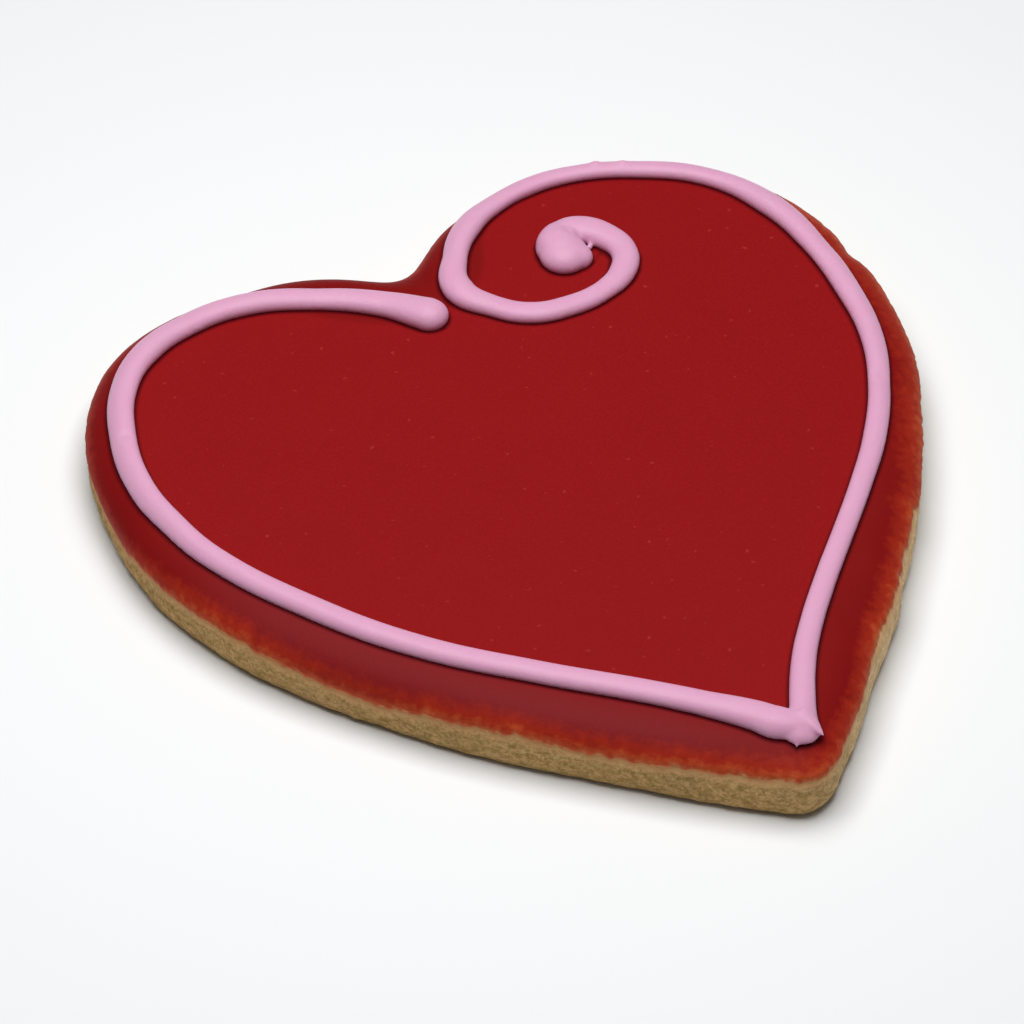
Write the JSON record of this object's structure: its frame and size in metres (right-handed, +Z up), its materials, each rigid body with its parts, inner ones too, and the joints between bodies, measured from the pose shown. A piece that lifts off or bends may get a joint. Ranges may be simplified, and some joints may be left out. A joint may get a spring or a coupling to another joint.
{
  "type": "iced sugar cookie",
  "caption": "Heart-shaped sugar cookie with a smooth coat of red icing and a piped pink outline that ends in a curl.",
  "frame": {"origin": "middle of the cookie's footprint, on the surface that it lies on", "axes": "+Z up through the iced face, -Y towards the tip of the heart, +Y towards its two lobes"},
  "size_m": [0.0901, 0.0943, 0.0102],
  "materials": {
    "biscuit": "baked, fine open crumb, matte",
    "red_icing": "set sugar icing, satin",
    "pink_icing": "set sugar icing, smooth, soft sheen"
  },
  "bodies": {
    "root": {"biscuit": "biscuit", "red_icing": "red_icing", "pink_piping": "pink_icing"}
  },
  "joints": []
}
